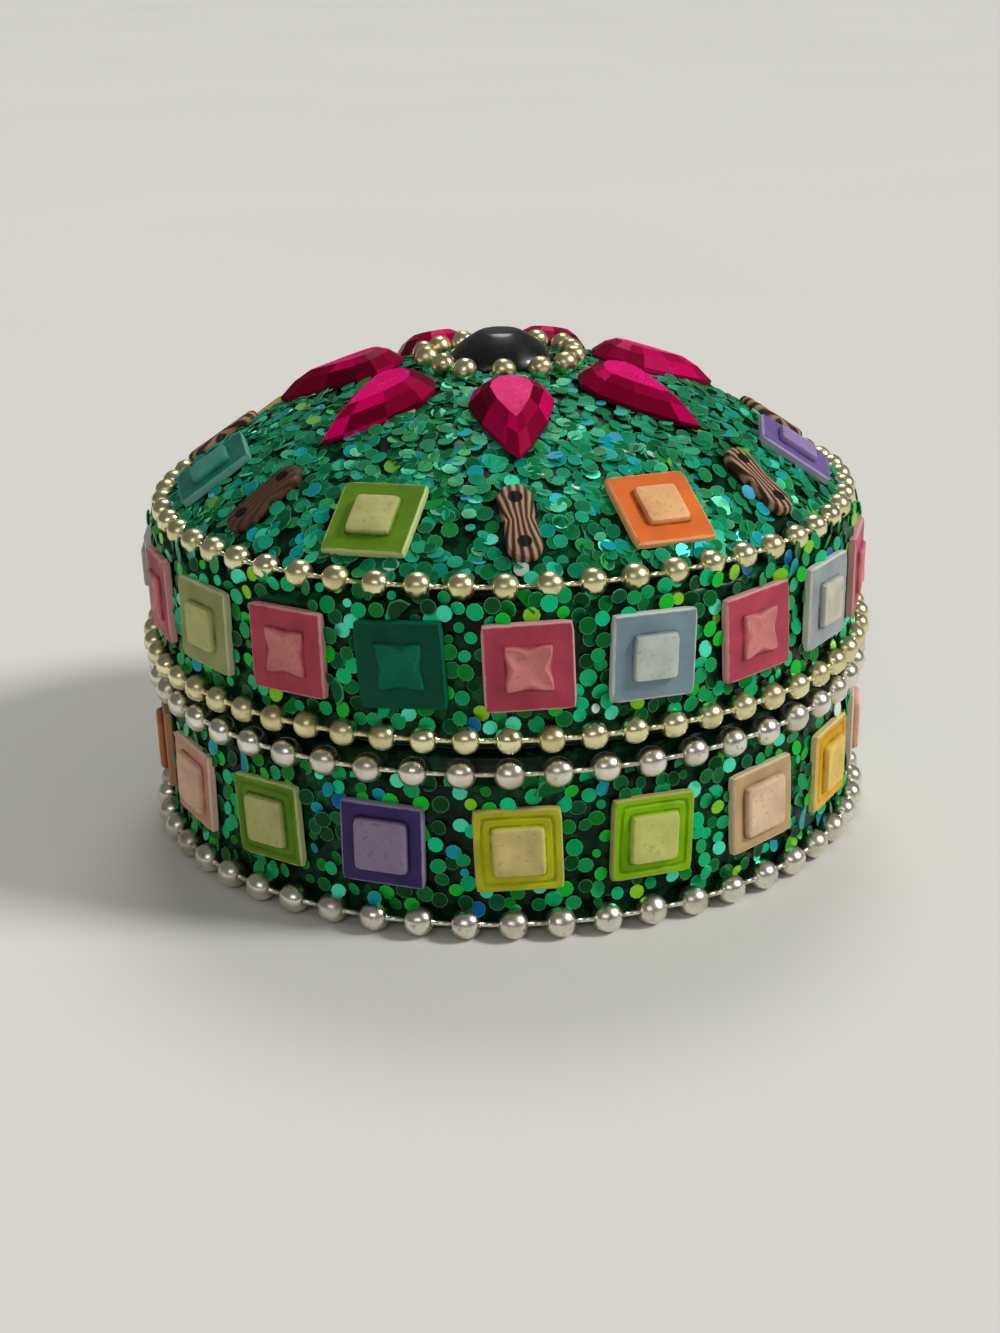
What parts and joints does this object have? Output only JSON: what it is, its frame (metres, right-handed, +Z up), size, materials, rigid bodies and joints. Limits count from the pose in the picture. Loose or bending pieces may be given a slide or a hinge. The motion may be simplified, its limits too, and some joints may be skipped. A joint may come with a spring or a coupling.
{
  "type": "trinket box",
  "caption": "Round lift-off trinket box with a domed lid, glittered lac coat, mosaic tiles, teardrop stones and rows of ball chain",
  "frame": {"origin": "centre of the underside of the metal cup, where the box stands", "axes": "+Z up the lid's axis, -Y towards the side that the picture shows, +X to its right"},
  "size_m": [0.056, 0.056, 0.0362],
  "materials": {
    "black_stone": "polished black stone",
    "gold_chain": "bright gilt ball chain",
    "lac": "clear lac over green glitter",
    "metal": "satin pressed sheet",
    "plaque": "striped brown moulded plastic",
    "ruby_stone": "foiled faceted acrylic",
    "silver_chain": "bright nickel ball chain",
    "tile_amber": "moulded tile, clear coated",
    "tile_aqua": "moulded tile, clear coated",
    "tile_blue": "moulded tile, clear coated",
    "tile_green": "moulded tile, clear coated",
    "tile_grey": "moulded tile, clear coated",
    "tile_lime": "moulded tile, clear coated",
    "tile_olive": "moulded tile, clear coated",
    "tile_orange": "moulded tile, clear coated",
    "tile_pale": "moulded tile, clear coated",
    "tile_peach": "moulded tile, clear coated",
    "tile_purple": "moulded tile, clear coated",
    "tile_rose": "moulded tile, clear coated",
    "tile_rust": "moulded tile, clear coated",
    "tile_tan": "moulded tile, clear coated",
    "tile_teal": "moulded tile, clear coated"
  },
  "bodies": {
    "base": {"base_cup": "metal", "base_foot_chain": "silver_chain", "base_lac_coat": "lac", "base_rim_chain": "silver_chain", "base_tiles_amber": "tile_amber", "base_tiles_green": "tile_green", "base_tiles_lime": "tile_lime", "base_tiles_olive": "tile_olive", "base_tiles_peach": "tile_peach", "base_tiles_purple": "tile_purple", "base_tiles_rust": "tile_rust", "base_tiles_tan": "tile_tan", "neck_ring": "metal"},
    "lid": {"crown_ball_ring": "gold_chain", "crown_stone": "black_stone", "dome_plaque_1": "plaque", "dome_plaque_2": "plaque", "dome_plaque_3": "plaque", "dome_plaque_4": "plaque", "dome_plaque_5": "plaque", "dome_plaque_6": "plaque", "dome_plaque_7": "plaque", "dome_tile_1": "tile_lime", "dome_tile_2": "tile_orange", "dome_tile_3": "tile_purple", "dome_tile_4": "tile_blue", "dome_tile_5": "tile_rose", "dome_tile_6": "tile_amber", "dome_tile_7": "tile_aqua", "lid_lac_coat": "lac", "lid_rim_chain": "gold_chain", "lid_shell": "metal", "lid_shoulder_chain": "gold_chain", "lid_tiles_blue": "tile_blue", "lid_tiles_grey": "tile_grey", "lid_tiles_pale": "tile_pale", "lid_tiles_rose": "tile_rose", "lid_tiles_teal": "tile_teal", "teardrop_stone_1": "ruby_stone", "teardrop_stone_2": "ruby_stone", "teardrop_stone_3": "ruby_stone", "teardrop_stone_4": "ruby_stone", "teardrop_stone_5": "ruby_stone", "teardrop_stone_6": "ruby_stone", "teardrop_stone_7": "ruby_stone"}
  },
  "joints": [
    {"name": "lid_lift", "type": "slide", "parent": "base", "child": "lid", "axis": [0, 0, 1], "range_m": [0, 0.04]}
  ]
}
